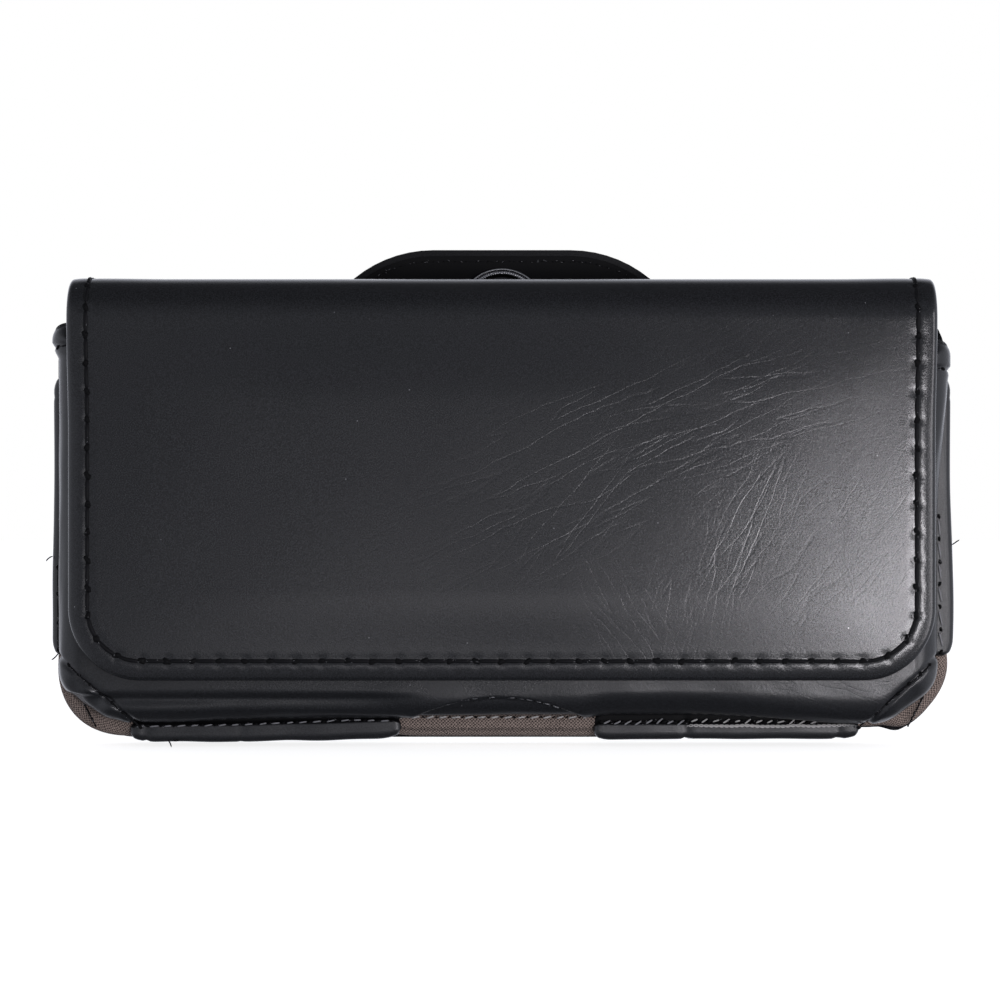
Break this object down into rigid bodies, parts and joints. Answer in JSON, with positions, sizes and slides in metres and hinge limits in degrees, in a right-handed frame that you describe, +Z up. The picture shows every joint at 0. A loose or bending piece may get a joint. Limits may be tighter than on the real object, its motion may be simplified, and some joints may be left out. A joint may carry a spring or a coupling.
{
  "type": "phone belt holster",
  "caption": "Horizontal black leather belt holster for a phone: stiff pocket with a cloth gusset, magnetic wrap-over flap and a swivelling spring belt clip behind.",
  "frame": {"origin": "middle of the overall box at the underside of the two base straps", "axes": "+X to the viewer's right along the width, +Z up, the flap faces -Y and the belt clip is at +Y"},
  "size_m": [0.1762, 0.0395, 0.0974],
  "materials": {
    "leather": "semi-gloss coated leather, black",
    "gusset_cloth": "coarse woven cloth, grey-brown",
    "lining": "matte lining cloth",
    "board": "fibre board",
    "magnet": "plated",
    "steel": "spring steel, satin",
    "nickel": "nickel plated, toothed",
    "brass": "plain"
  },
  "bodies": {
    "pouch": {"front_cover": "leather", "front_board": "board", "front_lining": "lining", "front_keepers": "magnet", "notch_facing": "leather", "gusset": "gusset_cloth", "side_strap_left": "leather", "side_strap_right": "leather", "base_strap_left": "leather", "base_strap_right": "leather", "back_cover": "leather", "back_board": "board", "back_lining": "lining", "swivel_eyelet": "brass"},
    "flap_top": {"top_cover": "leather", "top_lining": "lining"},
    "flap": {"flap_cover": "leather", "flap_board": "board", "flap_lining": "lining", "flap_magnets": "magnet"},
    "clip": {"clip_plate": "leather", "clip_facing": "leather", "clip_stiffener": "steel", "swivel_button": "nickel", "swivel_rivet": "steel", "clip_bracket": "steel", "clip_rivets": "steel"},
    "clip_arm": {"arm_spring": "steel", "arm_cover": "leather", "arm_lining": "leather"}
  },
  "joints": [
    {"name": "flap_lift", "type": "hinge", "parent": "pouch", "child": "flap_top", "pos_m": [0, 0.00421, 0.08969], "axis": [-1, 0, 0], "range_deg": [0, 90]},
    {"name": "flap_unfold", "type": "hinge", "parent": "flap_top", "child": "flap", "pos_m": [0, -0.01756, 0.08848], "axis": [-1, 0, 0], "range_deg": [0, 90]},
    {"name": "clip_swivel", "type": "hinge", "parent": "pouch", "child": "clip", "pos_m": [0, 0.00498, 0.085], "axis": [0, 1, 0], "continuous": true},
    {"name": "clip_arm_open", "type": "hinge", "parent": "clip", "child": "clip_arm", "pos_m": [0, 0.01427, 0.0967], "axis": [1, 0, 0], "range_deg": [0, 12], "stiffness_Nm_per_rad": 0.6}
  ],
  "couplings": [
    {"joint": "flap_unfold", "follows": "flap_lift", "ratio": 1}
  ]
}
